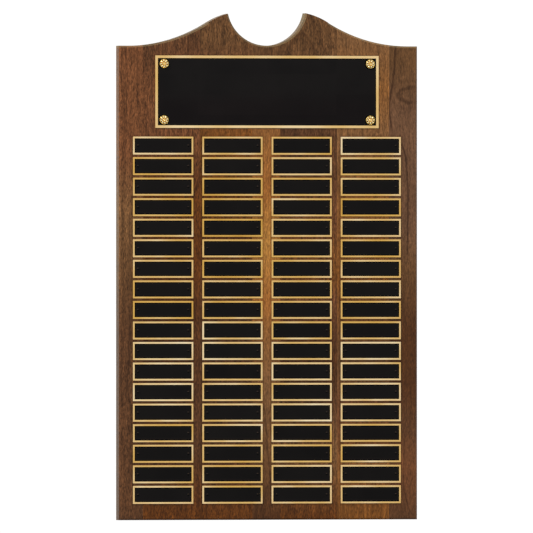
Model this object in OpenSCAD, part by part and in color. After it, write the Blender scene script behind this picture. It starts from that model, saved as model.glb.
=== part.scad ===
// Swan-neck wall plaque for a yearly roll of names. A walnut board is glued up from vertical
// staves. A header plate is held by four rosette nails, and each name plate by two pins.
//
// Frame: the origin is the centre of the back face of the board's straight-sided part.
// +Z is up, +X is to the viewer's right and +Y points into the wall, so the front faces -Y.

/* [Board] */
// Width of the board
board_w = 377.4; // [372:0.2:400]
// Height from the bottom edge to the shoulders
body_h = 586.6; // [582:0.2:620]
// Thickness of the board
board_t = 19; // [17:0.5:25]
// Width of the bevel round the front edge
bevel = 2.1; // [1:0.1:3]

/* [Top edge] */
// How far the scoop and the plates sit from the board's centre line; minus is to the left
middle_x = -1.9; // [-2:0.1:2]
// Flat length of each shoulder
shoulder_flat = 12.2; // [6:0.2:14]
// Radius of the hollow curve that rises from the shoulder
hollow_r = 189; // [182:1:198]
// Radius of the swelling curve that ends at the horn
swell_r = 86.5; // [76:0.5:92]
// Slope where the hollow and the swelling curve meet
meet_angle = 32.3; // [30:0.1:35]
// Radius of the round scoop between the horns
scoop_r = 50; // [44:0.5:54]
// Height of the scoop's bottom above the shoulders
scoop_rise = 0.4; // [0:0.1:2]

/* [Staves] */
// Width of the outermost stave on the left
left_stave_w = 30.2; // [26:0.2:38]
// Width of the outermost stave on the right
right_stave_w = 35.8; // [28:0.2:38]
// Width of the two wide inner staves
wide_stave_w = 72; // [68:0.2:76]
// Width of the two narrower inner staves
mid_stave_w = 66; // [62:0.2:70]

/* [Header plate] */
// Width of the header plate
header_w = 282.6; // [270:0.2:300]
// Height of the header plate
header_h = 89.6; // [80:0.2:92]
// Thickness of the header plate
header_t = 0.8; // [0.6:0.1:1.2]
// Width of the bare brass border round the header's enamel
header_border = 3.2; // [2:0.1:5]
// Gap between the header plate and the top row of name plates
header_gap = 10.8; // [8:0.2:12]

/* [Name plates] */
// Number of rows of name plates
rows = 18; // [1:1:18]
// Number of columns of name plates
columns = 4; // [2:1:4]
// Width of a name plate
plate_w = 76.2; // [72:0.2:80]
// Height of a name plate
plate_h = 22.2; // [18:0.2:24]
// Thickness of a name plate
plate_t = 0.6; // [0.5:0.1:1]
// Width of the bare brass border round a name plate's enamel
plate_border = 2.1; // [1:0.1:4]
// Distance between the centres of two columns
column_pitch = 87.6; // [84:0.2:90]
// Distance between the centres of two rows
row_pitch = 25.4; // [24.4:0.2:25.4]
// Wood below the bottom row
bottom_margin = 20.2; // [14:0.2:22]

/* [Pins and rosettes] */
// Radius of a pin's round head
pin_head_r = 1.4; // [1.2:0.1:2]
// Height of a pin's round head
pin_head_h = 0.8; // [0.6:0.1:1.2]
// Length of a pin under its head
pin_length = 9.5; // [6:0.5:10]
// Distance from a name plate's end to its pin
pin_inset = 6.3; // [5:0.1:8]
// Radius of a rosette's rim
rosette_r = 5.7; // [5:0.1:6]
// Number of petals on a rosette
petals = 8; // [6:1:10]
// Distance from the header plate's side to a rosette's centre
rosette_inset_x = 10.8; // [9.4:0.1:16]
// Distance from the header plate's top or bottom to a rosette's centre
rosette_inset_z = 10; // [9.4:0.1:16]
// Length of a rosette's nail under its rim
nail_length = 12; // [8:0.5:12]

/* [Keyholes] */
// Distance between the two keyholes in the back
keyhole_spacing = 240; // [232:1:248]
// Height of the keyholes' round mouths above the bottom edge
keyhole_height = 515; // [510:1:518]
// Radius of a keyhole's round mouth, for the screw's head
mouth_r = 5; // [4.6:0.1:5.4]
// Radius of the end of a keyhole's slot, for the screw's shank
slot_r = 2.6; // [2.4:0.1:3]
// Distance that the plaque drops onto its screws
drop = 20; // [12:1:22]
// Thickness of the wooden lip behind which a screw's head sits
lip = 4; // [3:0.5:5]
// Depth of a keyhole
keyhole_depth = 10; // [8.5:0.5:11]

/* [Hidden] */
$fn = 48;
FINE = 720; // steps in a full turn of the board's large curves
ease = 1; // how far a cutter runs past the face that it cuts
pin_r = 0.7;
nail_r = 1.1;
shank_play = 0.02; // between a shank and its pilot hole in the wood
plate_play = 0.1; // between a shank and its hole in a plate
tip_room = 0.4; // empty depth of a pilot hole past the shank's tip
point_h = 1.5; // length of a shank's point
enamel_t = 0.12; // depth of the etched recess that the enamel fills

walnut = ["#6b4a31", "#5d3f2a", "#6f4c31", "#94632f", "#593a26", "#7f5530", "#5a3c2a"];
brass = "#dcb56a";
rosette_gold = "#e2b45c";
enamel_black = "#1c1b1b";
pin_black = "#141414";

half_w = board_w / 2;
bottom_z = -body_h / 2;
shoulder_z = body_h / 2;
front_y = -board_t;
arc_x = half_w - shoulder_flat; // the hollow curves start this far from the centre line
meet_dir = [sin(meet_angle), -cos(meet_angle)];
hollow_c = [-arc_x, shoulder_z + hollow_r];
meet = hollow_c + hollow_r * meet_dir; // the left curves touch here
swell_c = hollow_c + (hollow_r + swell_r) * meet_dir;
scoop_c = [middle_x, shoulder_z + scoop_rise + scoop_r];
top_z = swell_c[1] + swell_r; // nothing of the board is higher

centre_stave_w = board_w - left_stave_w - right_stave_w - 2 * (wide_stave_w + mid_stave_w);
STAVES = [
  left_stave_w, wide_stave_w, mid_stave_w, centre_stave_w,
  wide_stave_w, mid_stave_w, right_stave_w
];

bottom_row_z = bottom_z + bottom_margin + plate_h / 2;
top_row_z = bottom_row_z + (rows - 1) * row_pitch;
header_z = top_row_z + plate_h / 2 + header_gap + header_h / 2;
pin_x = plate_w / 2 - pin_inset;
rosette_x = header_w / 2 - rosette_inset_x;
rosette_z = header_h / 2 - rosette_inset_z;
keyhole_z = bottom_z + keyhole_height;

PLATE_HOLES = [[-pin_x, 0], [pin_x, 0]];
CORNERS = [
  ["top_left", [-rosette_x, rosette_z]], ["top_right", [rosette_x, rosette_z]],
  ["bottom_left", [-rosette_x, -rosette_z]], ["bottom_right", [rosette_x, -rosette_z]]
];
HEADER_HOLES = [for (corner = CORNERS) corner[1]];

function total(widths, count) = count > 0 ? widths[count - 1] + total(widths, count - 1) : 0;
function joint_x(i) = -half_w + total(STAVES, i); // the glue line right of stave i
function column_x(c) = middle_x + (c - (columns + 1) / 2) * column_pitch;
function row_z(r) = top_row_z - (r - 1) * row_pitch; // row 1 is the top one
function two_digits(n) = str(n < 10 ? "0" : "", n);
function stave_name(i) = str("walnut_stave_", i);
function rosette_name(corner) = str("rosette_", corner[0]);
function plates_name(r) = str("nameplates_row_", two_digits(r));
function enamel_name(r) = str("enamel_row_", two_digits(r));
function pins_name(c) = str("pins_column_", c);

// ---- Helpers ----

// Gives an outline drawn in X and Z a depth, from y_back towards the front
module slab(y_back, depth) {
  translate([0, y_back, 0]) rotate([90, 0, 0]) linear_extrude(depth) children();
}

// A round hole along Y from y_front inwards, at a point given in X and Z
module hole(at, y_front, depth, r) {
  translate([at[0], y_front - ease, at[1]])
    rotate([-90, 0, 0]) cylinder(h = depth + ease, r = r);
}

// Turns a profile about Y: its x is the radius, and its y runs to the front
module turned() {
  rotate([90, 0, 0]) rotate_extrude() children();
}

// A shank's profile: it runs back from y = 0 and ends in a point
module shank_profile(r, length) {
  translate([0, point_h - length]) square([r, length - point_h]);
  polygon([[0, -length], [r, point_h - length], [0, point_h - length]]);
}

// The profile of a round cap that stands on y = 0
module cap_profile(r, h) {
  ball_r = (r * r + h * h) / (2 * h);
  intersection() {
    translate([0, h - ball_r]) circle(ball_r);
    square([r + ease, h + ease]);
  }
}

// ---- Board ----

// The left half of the board's outline, before the scoop is cut
module half_outline() {
  translate([-half_w, bottom_z]) square([shoulder_flat, body_h]);
  difference() {
    translate([-arc_x, bottom_z]) square([arc_x + meet[0], meet[1] - bottom_z]);
    translate(hollow_c) circle(hollow_r, $fn = FINE);
  }
  translate([meet[0], bottom_z]) square([-meet[0], swell_c[1] - bottom_z]);
  intersection() {
    translate([meet[0], swell_c[1]]) square([-meet[0], swell_r + ease]);
    translate(swell_c) circle(swell_r, $fn = FINE);
  }
}

module board_outline() {
  difference() {
    union() {
      half_outline();
      mirror([1, 0]) half_outline();
    }
    translate(scoop_c) circle(scoop_r, $fn = FINE);
  }
}

// The corner that the bevel takes off: x is outwards from the wood, y is from the back face
module bevel_profile() {
  polygon([
    [-bevel - ease, board_t + ease],
    [ease, board_t - bevel - ease],
    [ease, board_t + ease]
  ]);
}

// A straight bevel; at turn 0 it cuts a right-hand edge, upwards from its start
module straight_bevel(start, turn, length) {
  translate(start) rotate([0, turn, 0]) mirror([0, 1, 0])
    linear_extrude(length) bevel_profile();
}

// A bevel along an arc; angles are counted from +X towards +Z
module round_bevel(centre, from, sweep) {
  translate([centre[0], 0, centre[1]]) rotate([90, 0, 0])
    rotate_extrude(angle = sweep, start = from, $fn = FINE) children();
}

module left_curve_bevels() {
  past_horn = 10; // degrees, to carry the cutter over the scoop
  round_bevel(hollow_c, 270, meet_angle)
    translate([hollow_r, 0]) mirror([1, 0]) bevel_profile();
  round_bevel(swell_c, 90 - past_horn, past_horn + meet_angle)
    translate([swell_r, 0]) bevel_profile();
}

module front_bevels() {
  run = shoulder_flat + ease;
  straight_bevel([half_w, 0, bottom_z - ease], 0, body_h + 2 * ease);
  straight_bevel([-half_w, 0, shoulder_z + ease], 180, body_h + 2 * ease);
  straight_bevel([-half_w - ease, 0, bottom_z], 90, board_w + 2 * ease);
  straight_bevel([half_w + ease, 0, shoulder_z], -90, run);
  straight_bevel([run - half_w - ease, 0, shoulder_z], -90, run);
  left_curve_bevels();
  mirror([1, 0, 0]) left_curve_bevels();
  round_bevel(scoop_c, 0, 360) translate([scoop_r, 0]) mirror([1, 0]) bevel_profile();
}

// A routed keyhole: a round mouth, a slot above it, and a wider channel behind the lip
module keyhole(x) {
  translate([x, ease, keyhole_z]) rotate([90, 0, 0]) {
    cylinder(h = keyhole_depth + ease, r = mouth_r);
    translate([0, drop, 0]) cylinder(h = keyhole_depth + ease, r = slot_r);
    translate([-slot_r, 0, 0]) cube([2 * slot_r, drop, keyhole_depth + ease]);
    translate([0, 0, lip + ease]) {
      translate([0, drop, 0]) cylinder(h = keyhole_depth - lip, r = mouth_r);
      translate([-mouth_r, 0, 0]) cube([2 * mouth_r, drop, keyhole_depth - lip]);
    }
  }
}

module stave(i) {
  left = joint_x(i - 1);
  right = joint_x(i);
  color(walnut[i - 1]) difference() {
    slab(0, board_t) intersection() {
      board_outline();
      translate([left, bottom_z]) square([right - left, top_z - bottom_z]);
    }
    front_bevels();
    for (c = [1:columns], r = [1:rows], p = PLATE_HOLES) {
      x = column_x(c) + p[0];
      if (x > left && x < right)
        hole([x, row_z(r)], front_y, pin_length - plate_t + tip_room, pin_r + shank_play);
    }
    for (p = HEADER_HOLES) {
      x = middle_x + p[0];
      if (x > left && x < right)
        hole([x, header_z + p[1]], front_y, nail_length - header_t + tip_room,
          nail_r + shank_play);
    }
    for (x = [-keyhole_spacing / 2, keyhole_spacing / 2])
      if (x > left && x < right) keyhole(x);
  }
}

// ---- Plates ----

// A brass sheet with its back on y = 0 and a shallow etched recess inside its border
module brass_sheet(size, t, border, holes, hole_r) {
  color(brass) difference() {
    slab(0, t) square(size, center = true);
    slab(enamel_t - t, t) square(size - 2 * [border, border], center = true);
    for (p = holes) hole(p, -t, t + ease, hole_r);
  }
}

// The enamel that fills such a recess, flush with the border
module enamel_field(size, t, border, holes, hole_r) {
  color(enamel_black) difference() {
    slab(enamel_t - t, enamel_t) square(size - 2 * [border, border], center = true);
    for (p = holes) hole(p, -t, t, hole_r);
  }
}

module header_plate() {
  translate([middle_x, front_y, header_z])
    brass_sheet([header_w, header_h], header_t, header_border, HEADER_HOLES, nail_r + plate_play);
}

module header_enamel() {
  translate([middle_x, front_y, header_z])
    enamel_field([header_w, header_h], header_t, header_border, HEADER_HOLES, nail_r + plate_play);
}

module nameplates_row(r) {
  for (c = [1:columns]) translate([column_x(c), front_y, row_z(r)])
    brass_sheet([plate_w, plate_h], plate_t, plate_border, PLATE_HOLES, pin_r + plate_play);
}

module enamel_row(r) {
  for (c = [1:columns]) translate([column_x(c), front_y, row_z(r)])
    enamel_field([plate_w, plate_h], plate_t, plate_border, PLATE_HOLES, pin_r + plate_play);
}

// ---- Pins and rosettes ----

module pin() {
  color(pin_black) turned() {
    cap_profile(pin_head_r, pin_head_h);
    shank_profile(pin_r, pin_length);
  }
}

module pins_column(c) {
  for (r = [1:rows], p = PLATE_HOLES)
    translate([column_x(c) + p[0], front_y - plate_t, row_z(r)]) pin();
}

// A cast flower head on a nail: a thin rim, a ring of round petals and a dimpled boss
module rosette() {
  rim_h = 0.7;
  petal_r = 0.36 * rosette_r;
  petal_ring_r = 0.62 * rosette_r;
  boss_r = 0.4 * rosette_r;
  boss_h = 3;
  dimple_r = 0.8;
  color(rosette_gold) {
    difference() {
      union() {
        turned() {
          square([rosette_r, rim_h]);
          shank_profile(nail_r, nail_length);
          square([boss_r, boss_h - 1]);
          translate([0, boss_h - 1]) cap_profile(boss_r, 1);
        }
        intersection() {
          slab(0, boss_h) circle(rosette_r);
          for (k = [1:petals]) rotate([0, k * 360 / petals, 0])
            translate([petal_ring_r, -rim_h, 0]) sphere(petal_r);
        }
      }
      translate([0, -boss_h - 0.3, 0]) sphere(dimple_r);
    }
  }
}

module corner_rosette(corner) {
  translate([middle_x + corner[1][0], front_y - header_t, header_z + corner[1][1]])
    rosette();
}

// ---- Nodes ----

for (i = [1:len(STAVES)]) stave(i);
header_plate();
header_enamel();
for (corner = CORNERS)
  corner_rosette(corner);
for (r = [1:rows]) nameplates_row(r);
for (r = [1:rows]) enamel_row(r);
for (c = [1:columns]) pins_column(c);
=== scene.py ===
import math

import bmesh
import bpy
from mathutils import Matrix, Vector


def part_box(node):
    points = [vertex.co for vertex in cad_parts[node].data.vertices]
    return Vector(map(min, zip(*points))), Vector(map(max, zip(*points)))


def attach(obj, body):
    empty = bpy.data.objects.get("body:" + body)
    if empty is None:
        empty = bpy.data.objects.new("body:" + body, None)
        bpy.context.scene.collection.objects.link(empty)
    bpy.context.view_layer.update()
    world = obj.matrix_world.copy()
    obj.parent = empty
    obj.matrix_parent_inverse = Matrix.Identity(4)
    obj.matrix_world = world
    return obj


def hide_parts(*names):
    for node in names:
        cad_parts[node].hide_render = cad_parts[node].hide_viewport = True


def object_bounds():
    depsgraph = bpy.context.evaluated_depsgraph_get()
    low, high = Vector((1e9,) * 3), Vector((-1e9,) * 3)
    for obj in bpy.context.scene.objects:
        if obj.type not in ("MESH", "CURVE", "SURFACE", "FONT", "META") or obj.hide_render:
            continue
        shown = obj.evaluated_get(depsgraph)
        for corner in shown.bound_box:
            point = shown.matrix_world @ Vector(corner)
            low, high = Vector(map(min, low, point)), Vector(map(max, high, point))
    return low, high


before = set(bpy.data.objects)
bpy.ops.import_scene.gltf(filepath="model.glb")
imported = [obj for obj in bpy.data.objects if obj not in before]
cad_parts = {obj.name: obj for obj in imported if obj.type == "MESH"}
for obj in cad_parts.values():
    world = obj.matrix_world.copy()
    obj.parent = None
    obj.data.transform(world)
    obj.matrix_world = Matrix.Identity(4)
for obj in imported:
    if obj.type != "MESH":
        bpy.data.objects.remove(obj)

CAD_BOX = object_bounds()

# ---------------------------------------------------------------- places, in millimetres


def centre(node):
    low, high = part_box(node)
    return (low + high) * 500


def half(node):
    low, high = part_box(node)
    return (high - low) * 500


HEADER = centre("header_plate")
HEADER_HALF = half("header_plate")
HEADER_ENAMEL_HALF = half("header_enamel")
MIDDLE = HEADER.x
ROW_ONE = centre("nameplates_row_01").z
ROW = ROW_ONE - centre("nameplates_row_02").z
COLUMN = centre("pins_column_2").x - centre("pins_column_1").x
ROWS = 18
COLUMNS = 4
PLATE_HALF_W = half("nameplates_row_01").x - (COLUMNS - 1) / 2 * COLUMN
PLATE_HALF_H = half("nameplates_row_01").z
ENAMEL_HALF_W = half("enamel_row_01").x - (COLUMNS - 1) / 2 * COLUMN
ENAMEL_HALF_H = half("enamel_row_01").z
ROSETTE = centre("rosette_top_right")
ROSETTE_R = half("rosette_top_right").x
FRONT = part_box("walnut_stave_1")[0].y * 1000  # the wood's front face
LOW = CAD_BOX[0][2] * 1000
HIGH = CAD_BOX[1][2] * 1000
TOP_CURVE = 291.2  # the bevels of the shoulders and the scoop start at this height

# ---------------------------------------------------------------- helpers


def linear(colour):
    """A display colour, 0 to 255 a channel, as the linear RGBA that shaders use."""
    out = []
    for channel in colour:
        c = channel / 255
        out.append(c / 12.92 if c <= 0.04045 else ((c + 0.055) / 1.055) ** 2.4)
    return (*out, 1.0)


def bare(tone):
    """The wood's own colour under the lacquer, from how it looks in soft light: less the sheen."""
    darkest = 0.003
    return (*(max(darkest, (c - SHEEN) * k) for c, k in zip(linear(tone)[:3], WOOD_GAIN)), 1.0)


class Graph:
    """Lays out one material. Each method adds a node and gives its output socket."""

    def __init__(self, name):
        self.material = bpy.data.materials.new(name)
        self.material.use_nodes = True
        self.tree = self.material.node_tree
        self.tree.nodes.clear()

    def add(self, kind, **settings):
        node = self.tree.nodes.new("ShaderNode" + kind)
        for key, value in settings.items():
            setattr(node, key, value)
        return node

    def feed(self, socket, value):
        if isinstance(value, bpy.types.NodeSocket):
            self.tree.links.new(value, socket)
        else:
            socket.default_value = value

    def place(self):
        """Where the surface point is on the object, in millimetres."""
        node = self.add("VectorMath", operation="SCALE")
        self.feed(node.inputs[0], self.add("TexCoord").outputs["Object"])
        node.inputs["Scale"].default_value = 1000.0
        return node.outputs[0]

    def split(self, vector):
        node = self.add("SeparateXYZ")
        self.feed(node.inputs[0], vector)
        return node.outputs[0], node.outputs[1], node.outputs[2]

    def join(self, x, y, z):
        node = self.add("CombineXYZ")
        for socket, value in zip(node.inputs, (x, y, z)):
            self.feed(socket, value)
        return node.outputs[0]

    def math(self, operation, a, b=0.0, clamp=False):
        node = self.add("Math", operation=operation, use_clamp=clamp)
        self.feed(node.inputs[0], a)
        self.feed(node.inputs[1], b)
        return node.outputs[0]

    def span(self, value, low, high, to_low=0.0, to_high=1.0, smooth=False):
        node = self.add("MapRange", interpolation_type="SMOOTHSTEP" if smooth else "LINEAR")
        for socket, given in zip(node.inputs, (value, low, high, to_low, to_high)):
            self.feed(socket, given)
        return node.outputs[0]

    def noise(self, vector, scale=1.0, detail=2.0, roughness=0.5, warp=0.0):
        node = self.add("TexNoise")
        self.feed(node.inputs["Vector"], vector)
        node.inputs["Scale"].default_value = scale
        node.inputs["Detail"].default_value = detail
        node.inputs["Roughness"].default_value = roughness
        node.inputs["Distortion"].default_value = warp
        return node.outputs[0]

    def chance(self, vector):
        node = self.add("TexWhiteNoise", noise_dimensions="3D")
        self.feed(node.inputs["Vector"], vector)
        return node.outputs["Value"]

    def ramp(self, factor, stops, interpolation="LINEAR"):
        node = self.add("ValToRGB")
        ramp = node.color_ramp
        ramp.interpolation = interpolation
        while len(ramp.elements) < len(stops):
            ramp.elements.new(0.5)
        for element, (position, colour) in zip(ramp.elements, sorted(stops, key=lambda s: s[0])):
            element.position = position
            element.color = colour if isinstance(colour, tuple) else (colour, colour, colour, 1.0)
        self.feed(node.inputs[0], factor)
        return node.outputs[0]

    def mix(self, blend, factor, a, b):
        node = self.add("Mix", data_type="RGBA", blend_type=blend, clamp_result=False)
        self.feed(node.inputs[0], factor)
        self.feed(node.inputs[6], a)
        self.feed(node.inputs[7], b)
        return node.outputs[2]

    def grey(self, value):
        return self.join(value, value, value)

    def bump(self, height, strength, distance, under=None):
        node = self.add("Bump")
        node.inputs["Strength"].default_value = strength
        node.inputs["Distance"].default_value = distance
        self.feed(node.inputs["Height"], height)
        if under is not None:
            self.feed(node.inputs["Normal"], under)
        return node.outputs[0]

    def finish(self, colour, roughness, normal=None, **fixed):
        shader = self.add("BsdfPrincipled")
        self.feed(shader.inputs["Base Color"], colour)
        self.feed(shader.inputs["Roughness"], roughness)
        if normal is not None:
            self.feed(shader.inputs["Normal"], normal)
        for name, value in fixed.items():
            shader.inputs[name.replace("_", " ")].default_value = value
        out = self.add("OutputMaterial")
        self.feed(out.inputs["Surface"], shader.outputs[0])
        return self.material


def dress(node, material):
    """Gives a CAD node's object its finished material."""
    owner = bpy.data.objects[node]
    if not owner.material_slots:
        owner.data.materials.append(None)
    for entry in owner.material_slots:
        entry.link = "OBJECT"
        entry.material = material


# ---------------------------------------------------------------- camera

VIEW_FROM_LEFT = math.radians(12)
LENS = 1200.0
FIELD = 0.6604  # width of what the camera sees, in metres
AIM_ACROSS = 0.00147
AIM_HEIGHT = 0.0203
right = Vector((math.cos(VIEW_FROM_LEFT), -math.sin(VIEW_FROM_LEFT), 0.0))
toward = Vector((math.sin(VIEW_FROM_LEFT), math.cos(VIEW_FROM_LEFT), 0.0))
aim = right * AIM_ACROSS + Vector((0.0, 0.0, AIM_HEIGHT))
camera_data = bpy.data.cameras.new("camera")
camera_data.lens = LENS
camera_data.sensor_width = 36.0
camera_data.clip_start = 0.5
camera_data.clip_end = 200.0
camera = bpy.data.objects.new("camera", camera_data)
camera.location = aim - toward * (LENS * FIELD / 36.0)
camera.rotation_euler = (math.radians(90), 0.0, -VIEW_FROM_LEFT)
bpy.context.scene.collection.objects.link(camera)
bpy.context.scene.camera = camera

# ---------------------------------------------------------------- studio

scene = bpy.context.scene
scene.view_settings.view_transform = "Standard"
scene.view_settings.look = "None"
scene.view_settings.exposure = 0.0
scene.view_settings.gamma = 1.0

# A white sweep behind the object, and a softer room on the camera's side.
world = bpy.data.worlds.new("studio")
scene.world = world
world.use_nodes = True
tree = world.node_tree
tree.nodes.clear()
direction = tree.nodes.new("ShaderNodeTexCoord")
split = tree.nodes.new("ShaderNodeSeparateXYZ")
tree.links.new(direction.outputs["Generated"], split.inputs[0])


def fade(axis, low, high, to_low, to_high):
    node = tree.nodes.new("ShaderNodeMapRange")
    node.interpolation_type = "SMOOTHSTEP"
    for socket, value in zip(list(node.inputs)[1:5], (low, high, to_low, to_high)):
        socket.default_value = value
    tree.links.new(split.outputs[axis], node.inputs[0])
    return node.outputs[0]


sweep = fade(1, -0.25, 0.35, 0.92, 1.0)
under = fade(2, -0.75, 0.0, 0.30, 1.0)
level = tree.nodes.new("ShaderNodeMath")
level.operation = "MULTIPLY"
tree.links.new(sweep, level.inputs[0])
tree.links.new(under, level.inputs[1])
room = tree.nodes.new("ShaderNodeBackground")
room.inputs["Color"].default_value = (1.0, 0.99, 0.97, 1.0)
tree.links.new(level.outputs[0], room.inputs["Strength"])
backdrop = tree.nodes.new("ShaderNodeBackground")
backdrop.inputs["Color"].default_value = (1.0, 1.0, 1.0, 1.0)
backdrop.inputs["Strength"].default_value = 1.05
path = tree.nodes.new("ShaderNodeLightPath")
choose = tree.nodes.new("ShaderNodeMixShader")
tree.links.new(path.outputs["Is Camera Ray"], choose.inputs[0])
tree.links.new(room.outputs[0], choose.inputs[1])
tree.links.new(backdrop.outputs[0], choose.inputs[2])
output = tree.nodes.new("ShaderNodeOutputWorld")
tree.links.new(choose.outputs[0], output.inputs["Surface"])


def softbox(name, azimuth, elevation, distance, size, power, colour=(1.0, 1.0, 1.0)):
    data = bpy.data.lights.new(name, "AREA")
    data.shape = "RECTANGLE"
    data.size, data.size_y = size
    data.energy = power
    data.color = colour
    lamp = bpy.data.objects.new(name, data)
    a = math.radians(azimuth)
    e = math.radians(elevation)
    place = Vector((math.sin(a) * math.cos(e), -math.cos(a) * math.cos(e), math.sin(e))) * distance
    lamp.location = place
    lamp.rotation_euler = (-place).to_track_quat("-Z", "Y").to_euler()
    lamp.visible_camera = False
    bpy.context.scene.collection.objects.link(lamp)
    return lamp


softbox("key_softbox", -58, 38, 3.0, (0.9, 0.9), 52.0, (1.0, 0.98, 0.95))
softbox("back_softbox", 150, 40, 3.5, (1.8, 1.8), 30.0)

floor_mesh = bpy.data.meshes.new("floor")
shape = bmesh.new()
FLOOR_R = 9.0
FLOOR_DROP = 1.2  # how far below the plaque the studio floor lies
steps = 64
turns = [2 * math.pi * i / steps for i in range(steps)]
shape.faces.new([shape.verts.new((FLOOR_R * math.cos(a), FLOOR_R * math.sin(a), 0.0)) for a in turns])
shape.to_mesh(floor_mesh)
shape.free()
floor = bpy.data.objects.new("floor", floor_mesh)
floor.location = (0.0, 0.0, CAD_BOX[0][2] - FLOOR_DROP)
bpy.context.scene.collection.objects.link(floor)
g = Graph("floor_paint")
spot = g.place()
tint = g.ramp(g.noise(spot, 0.004, 3.0), [(0.3, linear((246, 245, 243))), (0.7, linear((250, 249, 248)))])
floor_mesh.materials.append(g.finish(tint, 0.9, None, Specular_IOR_Level=0.1))
floor.visible_diffuse = False
floor.visible_glossy = False

# ---------------------------------------------------------------- walnut

WOOD_GAIN = (1.10, 1.10, 1.06)
SHEEN = 0.005


def walnut(name, seed, tones, sides, pith, lean, ring, ring_depth, fleck=1.0, figure=1.0, extras=()):
    """One stave's walnut.

    tones: colour by height. sides: brightness from side to side. pith: where the heart of the tree
    stood, in X and Y, at mid height, and lean: how far it moves per millimetre of height; the growth
    rings are circles round it, so faces, edges and end grain agree. ring: ring width. fleck and
    figure: how strong the short dashes and the long streaks are.
    """
    g = Graph(name)
    spot = g.place()
    x, y, z = g.split(spot)
    shift = seed * 37.0
    # slow wander of the grain, long in Z
    wander_at = g.join(g.math("ADD", x, shift), y, g.math("MULTIPLY", z, 0.22))
    wander = g.math("SUBTRACT", g.noise(wander_at, 0.035, 2.0), 0.5)
    ripple_at = g.join(g.math("ADD", x, shift * 2), y, g.math("MULTIPLY", z, 0.35))
    ripple = g.math("SUBTRACT", g.noise(ripple_at, 0.16, 2.0), 0.5)
    bend = g.math("ADD", g.math("MULTIPLY", wander, 26.0), g.math("MULTIPLY", ripple, 3.2))
    # rings
    dx = g.math("SUBTRACT", g.math("ADD", x, bend), g.math("ADD", g.math("MULTIPLY", z, lean[0]), pith[0]))
    dy = g.math("SUBTRACT", y, g.math("ADD", g.math("MULTIPLY", z, lean[1]), pith[1]))
    reach = g.math("SQRT", g.math("ADD", g.math("MULTIPLY", dx, dx), g.math("MULTIPLY", dy, dy)))
    uneven = g.noise(g.join(reach, shift, 0.0), 0.11, 1.0)
    turns = g.math("ADD", g.math("DIVIDE", reach, ring), g.math("MULTIPLY", uneven, 2.2))
    phase = g.math("FRACT", turns)
    late = g.ramp(phase, [(0.0, 0.25), (0.08, 0.0), (0.5, 0.12), (0.8, 0.55), (0.93, 1.0), (1.0, 0.25)])
    strong = g.chance(g.join(g.math("FLOOR", turns), shift, 0.0))
    late = g.math("MULTIPLY", late, g.span(strong, 0.0, 1.0, 0.25, 1.0))
    # fibres, streaks and pores, all long in Z
    along = g.math("ADD", x, g.math("MULTIPLY", bend, 0.55))
    streak = g.noise(g.join(g.math("ADD", along, shift), y, g.math("MULTIPLY", z, 0.018)), 0.34, 4.0, 0.68)
    fibre = g.noise(g.join(g.math("ADD", along, shift), y, g.math("MULTIPLY", z, 0.045)), 1.3, 3.0, 0.6)
    dash = g.noise(g.join(g.math("ADD", along, shift * 3), y, g.math("MULTIPLY", z, 0.16)), 1.6, 2.0, 0.6)
    pore = g.noise(g.join(g.math("ADD", along, shift), y, g.math("MULTIPLY", z, 0.16)), 1.15, 2.0, 0.55)
    pore = g.span(pore, 0.54, 0.64, smooth=True)
    hair = g.noise(g.join(along, y, g.math("MULTIPLY", z, 0.09)), 4.2, 2.0, 0.5)
    hair = g.span(hair, 0.56, 0.68, smooth=True)
    cloud = g.noise(g.join(g.math("ADD", x, shift), y, g.math("MULTIPLY", z, 0.45)), 0.045, 3.0, 0.55)
    # colour
    stops = [((height - LOW) / (HIGH - LOW), bare(tone)) for height, tone in tones]
    colour = g.ramp(g.span(z, LOW, HIGH), stops)
    width = sides[-1][0] - sides[0][0]
    across = g.ramp(g.span(x, sides[0][0], sides[-1][0]),
                    [((at - sides[0][0]) / width, level / 2.0) for at, level in sides])
    colour = g.mix("MULTIPLY", 1.0, colour, g.mix("ADD", 1.0, across, across))
    depth = g.math("MULTIPLY", late, ring_depth)
    dark = g.mix("MULTIPLY", 1.0, colour, (0.42, 0.36, 0.33, 1.0))
    colour = g.mix("MIX", depth, colour, dark)
    layers = ((streak, 0.36 * figure), (fibre, 0.36 * fleck), (dash, 0.80 * fleck), (cloud, 0.15))
    for layer, swing in layers:
        shade = g.grey(g.span(layer, 0.28, 0.72, 1 - swing, 1 + swing))
        colour = g.mix("MULTIPLY", 1.0, colour, shade)
    pits = g.math("MAXIMUM", g.math("MULTIPLY", pore, 0.42 * fleck), g.math("MULTIPLY", hair, 0.5))
    colour = g.mix("MIX", pits, colour, g.mix("MULTIPLY", 1.0, colour, (0.34, 0.28, 0.26, 1.0)))
    for extra in extras:
        colour = extra(g, colour, x, y, z)
    # painted shade: the wood is darkened next to the name plates and the header, standing in for their
    # contact shadow
    plate_shade = g.math("MULTIPLY", beside_plates(g, x, y, z), 0.85)
    colour = g.mix("MULTIPLY", plate_shade, colour, (0.43, 0.31, 0.20, 1.0))
    # painted sheen: the edges and bevels of the top curve and the scoop get an added paler olive that
    # stands in for the lacquer's reflection there; the straight ones do not
    facing = g.split(g.add("NewGeometry").outputs["Normal"])
    edge = g.span(g.math("ABSOLUTE", facing[1]), 0.75, 0.95, 1.0, 0.0, smooth=True)
    edge = g.math("MULTIPLY", edge, g.span(z, TOP_CURVE - 0.7, TOP_CURVE))
    colour = g.mix("ADD", edge, colour, (0.036, 0.042, 0.022, 1.0))
    # painted tint: faces that look left or right are made a little yellower, to warm the grey sheen they
    # show
    side = g.span(g.math("ABSOLUTE", facing[0]), 0.85, 0.98, smooth=True)
    colour = g.mix("MULTIPLY", side, colour, (1.0, 1.06, 0.62, 1.0))
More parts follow.
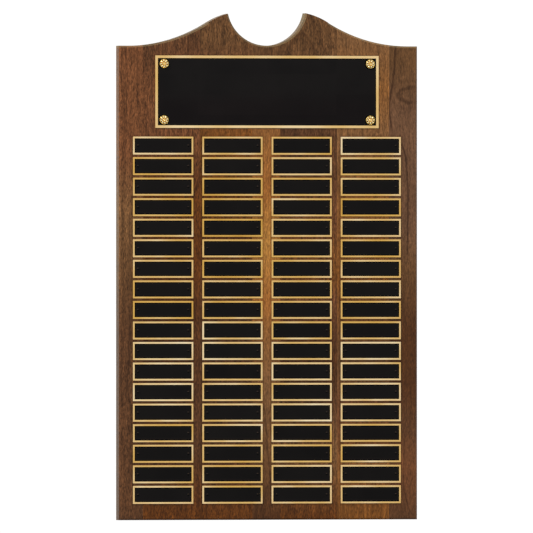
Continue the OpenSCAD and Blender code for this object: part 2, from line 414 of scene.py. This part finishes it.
    # sawn end grain drinks the lacquer and goes a little darker
    end = g.span(g.math("ABSOLUTE", facing[2]), 0.75, 0.95, smooth=True)
    colour = g.mix("MULTIPLY", g.math("MULTIPLY", end, 0.6), colour, (0.80, 0.76, 0.72, 1.0))
    # satin lacquer over open pores
    rough = g.math("ADD", g.span(fibre, 0.3, 0.7, 0.36, 0.46), g.math("MULTIPLY", pits, 0.25))
    height = g.math("SUBTRACT", g.math("MULTIPLY", fibre, 0.4), g.math("MULTIPLY", pits, 1.3))
    normal = g.bump(height, 0.35, 0.00012)
    return g.finish(colour, rough, normal, Specular_IOR_Level=0.12)


def beside_plates(g, x, y, z):
    """1 on the wood within 2 mm of a name plate's or the header's edge, where painted shade darkens it."""
    middle = g.math("SUBTRACT", x, MIDDLE)
    across = g.math("PINGPONG", g.math("ADD", middle, 6 * COLUMN), COLUMN / 2)
    across = g.math("SUBTRACT", COLUMN / 2 - PLATE_HALF_W, across)
    up = g.math("PINGPONG", g.math("ADD", z, 20 * ROW + ROW / 2 - ROW_ONE), ROW / 2)
    up = g.math("SUBTRACT", ROW / 2 - PLATE_HALF_H, up)
    reach = 2.0
    gap = g.span(g.math("MAXIMUM", across, up), 0.0, reach, 1.0, 0.0, smooth=True)
    rows_half = (ROWS - 1) / 2 * ROW
    tall_half = rows_half + PLATE_HALF_H + reach
    wide_half = (COLUMNS - 1) / 2 * COLUMN + PLATE_HALF_W + reach
    gap = g.math("MULTIPLY", gap, band(g, z, ROW_ONE - rows_half, tall_half, 0.8))
    gap = g.math("MULTIPLY", gap, band(g, middle, 0.0, wide_half, 0.8))
    wide = g.math("SUBTRACT", g.math("ABSOLUTE", middle), HEADER_HALF.x)
    tall = g.math("SUBTRACT", g.math("ABSOLUTE", g.math("SUBTRACT", z, HEADER.z)), HEADER_HALF.z)
    header = g.span(g.math("MAXIMUM", wide, tall), 0.0, reach, 1.0, 0.0, smooth=True)
    on_front = g.span(y, FRONT + 0.1, FRONT + 0.4, 1.0, 0.0)
    return g.math("MULTIPLY", g.math("MAXIMUM", gap, header), on_front)


def band(g, value, centre, half, soft):
    """1 within half of centre, falling to 0 over soft."""
    off = g.math("ABSOLUTE", g.math("SUBTRACT", value, centre))
    return g.span(off, half, half + soft, 1.0, 0.0, smooth=True)


def knot(at, size, strength):
    """A soft dark curl, open to the right, where the grain swirls round a hidden pin knot."""
    def paint(g, colour, x, y, z):
        u = g.math("DIVIDE", g.math("SUBTRACT", x, at[0]), size[0])
        v = g.math("DIVIDE", g.math("SUBTRACT", z, at[1]), size[1])
        sway = g.math("SUBTRACT", g.noise(g.join(x, y, z), 0.10, 3.0), 0.5)
        r = g.math("SQRT", g.math("ADD", g.math("MULTIPLY", u, u), g.math("MULTIPLY", v, v)))
        r = g.math("ADD", r, g.math("MULTIPLY", sway, 0.9))
        echo = g.math("MULTIPLY", band(g, r, 1.9, 0.05, 0.4), 0.3)
        curl = g.math("ADD", band(g, r, 1.0, 0.04, 0.32), echo)
        curl = g.math("MULTIPLY", curl, g.span(u, 0.0, 0.8, 1.0, 0.1, smooth=True))
        core = g.math("MULTIPLY", g.span(r, 0.0, 0.9, 1.0, 0.0, smooth=True), 0.2)
        amount = g.math("MULTIPLY", g.math("ADD", curl, core), strength, clamp=True)
        dark = g.mix("MULTIPLY", 1.0, colour, (0.36, 0.32, 0.30, 1.0))
        return g.mix("MIX", amount, colour, dark)
    return paint


def vein(path, width, strength):
    """A thin dark mineral line that wanders up the stave through the given (Z, X) places."""
    def paint(g, colour, x, y, z):
        low, high = path[0][0], path[-1][0]
        left = min(p[1] for p in path)
        wide = max(p[1] for p in path) - left + 0.001
        stops = [((h - low) / (high - low), (at - left) / wide) for h, at in path]
        place = g.math("MULTIPLY_ADD", g.ramp(g.span(z, low, high), stops, "B_SPLINE"), wide)
        place.node.inputs[2].default_value = left
        sway = g.math("SUBTRACT", g.noise(g.join(0.0, y, z), 0.05, 2.0), 0.5)
        off = g.math("ABSOLUTE", g.math("SUBTRACT", g.math("ADD", x, g.math("MULTIPLY", sway, 3.0)), place))
        line = g.span(off, width * 0.35, width, 1.0, 0.0, smooth=True)
        ends = band(g, z, (low + high) / 2, (high - low) / 2 - 12.0, 12.0)
        amount = g.math("MULTIPLY", g.math("MULTIPLY", line, ends), strength)
        dark = g.mix("MULTIPLY", 1.0, colour, (0.34, 0.29, 0.27, 1.0))
        return g.mix("MIX", amount, colour, dark)
    return paint


# Walnut tones, as display colours
UMBER = (80, 50, 30)
BARK = (90, 60, 40)
RUSSET = (95, 55, 25)
WALNUT = (100, 70, 45)
NUT = (110, 70, 45)
TAUPE = (105, 75, 55)
DUN = (120, 85, 55)
AMBER = (120, 75, 35)
TAN = (135, 90, 50)
HONEY = (155, 100, 50)
GOLD = (170, 120, 60)

STAVES = {
    "walnut_stave_1": walnut(
        "walnut_1", 1,
        [(-290, BARK), (-60, BARK), (20, WALNUT), (90, DUN), (160, NUT), (290, NUT)],
        [(-190, 1.0), (-160, 1.0)],
        (-240, 60), (0.02, 0.03), 6.0, 0.5),
    "walnut_stave_2": walnut(
        "walnut_2", 2,
        [(-290, RUSSET), (-200, BARK), (-60, UMBER), (20, RUSSET), (100, RUSSET), (180, NUT), (250, NUT),
         (300, BARK)],
        [(-160, 0.95), (-130, 1.05), (-90, 0.95)],
        (-60, 90), (-0.05, 0.05), 4.4, 0.62),
    "walnut_stave_3": walnut(
        "walnut_3", 3,
        [(-290, RUSSET), (-200, BARK), (-50, BARK), (60, RUSSET), (180, AMBER), (240, NUT), (300, WALNUT)],
        [(-86, 0.9), (-60, 1.05), (-20, 1.05)],
        (20, 70), (0.05, -0.06), 5.2, 0.55),
    "walnut_stave_4": walnut(
        "walnut_4", 4,
        [(-290, UMBER), (-170, DUN), (-120, DUN), (-60, TAN), (-20, HONEY), (50, GOLD), (120, HONEY),
         (180, TAN), (240, NUT), (290, WALNUT)],
        [(-20, 0.95), (16, 1.05)],
        (-160, 60), (0.28, 0.05), 9.0, 0.45, 0.7, 0.5,
        (vein([(-284, 5), (-240, 2), (-190, -3), (-145, -6)], 1.6, 0.55),
         vein([(-278, 11), (-236, 9), (-190, 3), (-150, 0)], 1.3, 0.40))),
    "walnut_stave_5": walnut(
        "walnut_5", 5,
        [(-290, RUSSET), (-210, DUN), (-160, BARK), (-100, UMBER), (-20, NUT), (10, AMBER), (90, NUT),
         (180, BARK), (300, WALNUT)],
        [(16, 0.9), (36, 0.9), (42, 1.0), (88, 1.0)],
        (36, 34), (0.02, 0.10), 3.4, 0.7),
    "walnut_stave_6": walnut(
        "walnut_6", 6,
        [(-290, AMBER), (-240, TAN), (-170, NUT), (-100, WALNUT), (10, AMBER), (100, TAN), (180, DUN),
         (240, TAN), (300, DUN)],
        [(88, 1.0), (154, 1.0)],
        (230, 40), (-0.03, 0.04), 5.0, 0.5, 0.75),
    "walnut_stave_7": walnut(
        "walnut_7", 7,
        [(-290, BARK), (-230, NUT), (-180, BARK), (-130, UMBER), (-60, UMBER), (20, WALNUT), (70, TAUPE),
         (210, TAUPE), (270, WALNUT)],
        [(154, 0.95), (188, 1.05)],
        (120, 80), (0.03, 0.05), 7.5, 0.26, 0.62, 0.5,
        (knot((179, 233), (13.0, 9.0), 0.70),
         vein([(184, 157), (200, 155), (214, 153), (228, 153), (246, 158), (262, 159), (279, 160),
               (300, 162)], 1.7, 0.80),
         vein([(30, 176), (110, 177), (134, 176), (157, 174), (171, 169), (184, 164)], 1.6, 0.75),
         vein([(-292, 185), (-281, 178), (-256, 171), (-229, 171), (-180, 173)], 1.3, 0.5))),
}
for node, material in STAVES.items():
    dress(node, material)

# ---------------------------------------------------------------- brass and enamel


def plate_number(g, x, z):
    """A number for each plate, from its column and row."""
    column = g.math("FLOOR", g.math("DIVIDE", g.math("ADD", x, 2 * COLUMN - MIDDLE), COLUMN))
    row = g.math("ROUND", g.math("DIVIDE", g.math("SUBTRACT", ROW_ONE, z), ROW))
    return g.join(column, row, 0.0)


def brass(name, single):
    """Brushed sheet brass. single: one sheet, where otherwise each name plate has its own painted
    brightness of gold, standing in for its differing reflection.
    """
    g = Graph(name)
    spot = g.place()
    x, y, z = g.split(spot)
    number = g.join(0.0, 40.0, 0.0) if single else plate_number(g, x, z)
    pick = g.chance(number)
    drift_at = g.join(x, g.math("MULTIPLY", pick, 300.0), z)
    drift = g.noise(drift_at, 0.02, 2.0)
    brushed = g.noise(g.join(g.math("MULTIPLY", x, 0.05), y, z), 9.0, 3.0, 0.6)
    # painted reflection: each plate, and each place along the sheet, gets its own brightness of gold
    level = g.math("ADD", g.span(pick, 0.0, 1.0, -0.16, 0.18), g.span(drift, 0.25, 0.75, 0.36, 0.94))
    # painted reflection: rows 2 to 9 are painted a deeper gold
    level = g.math("SUBTRACT", level, g.math("MULTIPLY", band(g, z, 55.5, 95.0, 12.0), 0.17))
    if single:
        level = g.span(drift, 0.25, 0.75, 0.52, 0.92)
    colour = g.ramp(level, [(0.05, (0.62, 0.34, 0.065, 1.0)), (0.35, (0.78, 0.475, 0.12, 1.0)),
                            (0.60, (0.85, 0.57, 0.22, 1.0)), (0.80, (0.94, 0.71, 0.38, 1.0)),
                            (1.00, (1.00, 0.83, 0.55, 1.0))])
    colour = g.mix("MULTIPLY", 1.0, colour, g.grey(g.span(brushed, 0.3, 0.7, 0.93, 1.04)))
    tarnish = g.span(g.noise(spot, 0.35, 3.0), 0.62, 0.8, 0.0, 0.25, smooth=True)
    colour = g.mix("MIX", tarnish, colour, (0.55, 0.33, 0.12, 1.0))
    rough = g.math("ADD", g.span(brushed, 0.3, 0.7, 0.38, 0.5), g.math("MULTIPLY", pick, 0.06))
    normal = g.bump(brushed, 0.12, 0.00003)
    return g.finish(colour, rough, normal, Metallic=1.0)


def enamel(name, single):
    """Black enamel, for the header if single and otherwise for the name plates."""
    g = Graph(name)
    spot = g.place()
    x, y, z = g.split(spot)
    pick = g.chance(plate_number(g, x, z))
    cloud = g.noise(spot, 0.02, 3.0)
    peel = g.noise(spot, 0.9, 2.0)
    dust = g.span(g.noise(spot, 1.4, 1.0), 0.80, 0.84, smooth=True)
    level = g.math("ADD", g.math("MULTIPLY", cloud, 0.8), g.math("MULTIPLY", pick, 0.2))
    colour = g.ramp(level, [(0.25, (0.0060, 0.0055, 0.0056, 1.0)), (0.75, (0.0092, 0.0082, 0.0080, 1.0))])
    colour = g.mix("MIX", g.math("MULTIPLY", dust, 0.25), colour, (0.10, 0.085, 0.06, 1.0))
    if single:
        low = g.span(z, 215.0, 245.0, 0.8, 0.0, smooth=True)
        colour = g.mix("MULTIPLY", low, colour, (0.88, 0.76, 0.80, 1.0))
        colour = g.mix("MULTIPLY", 1.0, colour, (1.18, 1.18, 1.20, 1.0))
    # painted shade: near-black where the enamel meets the brass and round the rosettes, standing in for the
    # shade at the recess edge, with a fine paler line inside that
    middle = g.math("SUBTRACT", x, MIDDLE)
    if single:
        off_x = g.math("ABSOLUTE", middle)
        off_z = g.math("ABSOLUTE", g.math("SUBTRACT", z, HEADER.z))
        wide = g.math("SUBTRACT", HEADER_ENAMEL_HALF.x, off_x)
        tall = g.math("SUBTRACT", HEADER_ENAMEL_HALF.z, off_z)
        u = g.math("SUBTRACT", off_x, ROSETTE.x - MIDDLE)
        v = g.math("SUBTRACT", off_z, ROSETTE.z - HEADER.z)
        ring = g.math("SQRT", g.math("ADD", g.math("MULTIPLY", u, u), g.math("MULTIPLY", v, v)))
        inset = g.math("MINIMUM", g.math("MINIMUM", wide, tall), g.math("SUBTRACT", ring, ROSETTE_R - 0.1))
    else:
        column = g.math("PINGPONG", g.math("ADD", middle, 6 * COLUMN), COLUMN / 2)
        row = g.math("PINGPONG", g.math("ADD", z, 20 * ROW + ROW / 2 - ROW_ONE), ROW / 2)
        wide = g.math("SUBTRACT", column, COLUMN / 2 - ENAMEL_HALF_W)
        tall = g.math("SUBTRACT", row, ROW / 2 - ENAMEL_HALF_H)
        inset = g.math("MINIMUM", wide, tall)
    colour = g.mix("MIX", band(g, inset, 1.9, 0.2, 0.6), colour, (0.0100, 0.0088, 0.0084, 1.0))
    edge_shade = g.span(inset, 1.0, 1.4, 1.0, 0.0, smooth=True)
    colour = g.mix("MIX", edge_shade, colour, (0.0003, 0.0003, 0.0004, 1.0))
    rough = g.math("ADD", g.span(cloud, 0.3, 0.7, 0.30, 0.42), g.math("MULTIPLY", dust, 0.2))
    normal = g.bump(peel, 0.08, 0.00005)
    return g.finish(colour, rough, normal, Specular_IOR_Level=0.03)


sheet = brass("brass_sheet", False)
header_sheet = brass("brass_header", True)
black = enamel("black_enamel", False)
dress("header_plate", header_sheet)
dress("header_enamel", enamel("black_enamel_header", True))
for row in range(1, ROWS + 1):
    dress(f"nameplates_row_{row:02d}", sheet)
    dress(f"enamel_row_{row:02d}", black)


def japan():
    """Black japanned steel, with painted highlights in brown on the pins' upper sides."""
    g = Graph("black_japan")
    spot = g.place()
    upward = g.split(g.add("NewGeometry").outputs["Normal"])[2]
    patchy = g.span(g.noise(spot, 1.6, 3.0), 0.3, 0.7)
    # painted highlight: brown in patches on the upward-facing parts of the pin heads
    top_light = g.math("MULTIPLY", g.span(upward, 0.0, 0.6, smooth=True), patchy)
    top_light = g.math("MULTIPLY", top_light, 0.60)
    colour = g.mix("MIX", top_light, (0.002, 0.002, 0.002, 1.0), (0.10, 0.062, 0.038, 1.0))
    rough = g.span(g.noise(spot, 2.5, 2.0), 0.3, 0.7, 0.38, 0.52)
    normal = g.bump(g.noise(spot, 3.0, 2.0), 0.1, 0.00005)
    return g.finish(colour, rough, normal, Specular_IOR_Level=0.08)


pin_black = japan()
for column in range(1, COLUMNS + 1):
    dress(f"pins_column_{column}", pin_black)

# ---------------------------------------------------------------- rosettes


def gilt():
    """Gold plate, with painted highlights on the high places and painted shade in the hollows."""
    g = Graph("gilt_casting")
    spot = g.place()
    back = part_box("header_enamel")[0].y * 1000
    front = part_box("rosette_top_left")[0].y * 1000
    height = g.span(g.split(spot)[1], back, front)
    grain = g.noise(spot, 2.2, 3.0)
    # painted light and shade: colour runs from dark in the hollows to bright on the high places
    colour = g.ramp(height, [(0.15, (0.12, 0.05, 0.01, 1.0)), (0.38, (0.42, 0.20, 0.03, 1.0)),
                             (0.54, (1.00, 0.62, 0.13, 1.0)), (0.68, (1.00, 0.82, 0.32, 1.0)),
                             (0.88, (1.00, 0.94, 0.60, 1.0))])
    colour = g.mix("MULTIPLY", 1.0, colour, g.grey(g.span(grain, 0.3, 0.7, 0.86, 1.0)))
    rough = g.span(grain, 0.3, 0.7, 0.26, 0.38)
    normal = g.bump(grain, 0.15, 0.00008)
    return g.finish(colour, rough, normal, Metallic=1.0)


GILT = gilt()
PETALS = 8
FOOT = 0.12  # share of the height that is a plain disc under the flower
NAIL_R = 0.0011
SHARES = [0.03, 0.06, 0.09, 0.12, 0.15, 0.18, 0.21, 0.24, 0.27, 0.30, 0.33, 0.36, 0.39, 0.42, 0.46, 0.50,
          0.54, 0.58, 0.62, 0.66, 0.70, 0.74, 0.78, 0.82, 0.85, 0.88, 0.91, 0.935, 0.96, 0.98, 0.993, 1.0]
TURNS = {"top_left": 0.10, "top_right": 0.31, "bottom_left": 0.22, "bottom_right": 0.02}


def smooth(low, high, value):
    t = min(1.0, max(0.0, (value - low) / (high - low)))
    return t * t * (3 - 2 * t)


def petal_height(r, angle):
    """Height of the casting, 0 to 1, at a share r of its radius."""
    fan = angle * PETALS / (2 * math.pi)
    off = abs(fan - round(fan)) * 2
    swell = max(0.0, 1 - off ** 2.4)
    crease = 0.12 * math.exp(-(off / 0.16) ** 2)
    body = smooth(0.38, 0.52, r) * (1 - smooth(0.74, 0.92, r))
    petal = 0.28 + 0.46 * body * (swell - crease)
    valley = 0.24 * smooth(0.44, 0.62, r) * (1 - smooth(0.86, 0.93, r)) * smooth(0.55, 1.0, off)
    rim = 0.17 * math.exp(-((r - 0.93) / 0.045) ** 2)
    boss = 0.62 * (1 - smooth(0.20, 0.34, r)) - 0.55 * math.exp(-(r / 0.14) ** 2)
    beads = 0.05 * (0.5 + 0.5 * math.cos(angle * 12)) * math.exp(-((r - 0.26) / 0.05) ** 2)
    edge = 1 - smooth(0.955, 1.0, r) ** 2
    return max(0.0, (petal - valley + rim + boss * 0.62 + beads) * edge)


def rosette(node, turn):
    """A cast flower and its nail in one closed mesh, in the place of the plain CAD one."""
    low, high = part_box(node)
    cx = (low.x + high.x) / 2
    cz = (low.z + high.z) / 2
    radius = (high.x - low.x) / 2 - 0.00002
    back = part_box("header_enamel")[0].y
    tall = back - low.y - 0.00004
    mesh = bpy.data.meshes.new(node + "_casting")
    shape = bmesh.new()
    around = 112
    peak = max(petal_height(i / 60, j * math.pi / 48) for i in range(61) for j in range(97))
    rings = []
    for share in SHARES:
        ring = []
        for i in range(around):
            angle = 2 * math.pi * i / around
            rise = FOOT * tall + (1 - FOOT) * tall * petal_height(share, angle) / peak
            a = angle + turn
            ring.append(shape.verts.new((cx + radius * share * math.cos(a), back - rise,
                                         cz + radius * share * math.sin(a))))
        rings.append(ring)
    nail = NAIL_R / radius
    tip = high.y - 0.0003
    for share, depth in ((1.0, back), (0.82, back), (nail, back), (nail, tip - 0.0026),
                         (nail * 0.45, tip - 0.0009)):
        ring = []
        for i in range(around):
            a = 2 * math.pi * i / around + turn
            ring.append(shape.verts.new((cx + radius * share * math.cos(a), depth,
                                         cz + radius * share * math.sin(a))))
        rings.append(ring)
    for inner, outer in zip(rings, rings[1:]):
        for i in range(around):
            j = (i + 1) % around
            shape.faces.new((inner[i], inner[j], outer[j], outer[i]))
    centre_rise = FOOT * tall + (1 - FOOT) * tall * petal_height(0.0, 0.0) / peak
    front = shape.verts.new((cx, back - centre_rise, cz))
    point = shape.verts.new((cx, tip, cz))
    for i in range(around):
        j = (i + 1) % around
        shape.faces.new((front, rings[0][j], rings[0][i]))
        shape.faces.new((point, rings[-1][i], rings[-1][j]))
    bmesh.ops.recalc_face_normals(shape, faces=shape.faces)
    shape.to_mesh(mesh)
    shape.free()
    mesh.polygons.foreach_set("use_smooth", [True] * len(mesh.polygons))
    piece = bpy.data.objects.new(node + "_casting", mesh)
    bpy.context.scene.collection.objects.link(piece)
    mesh.materials.append(GILT)
    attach(piece, "root")
    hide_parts(node)
    return piece


for corner, turn in TURNS.items():
    rosette("rosette_" + corner, turn)
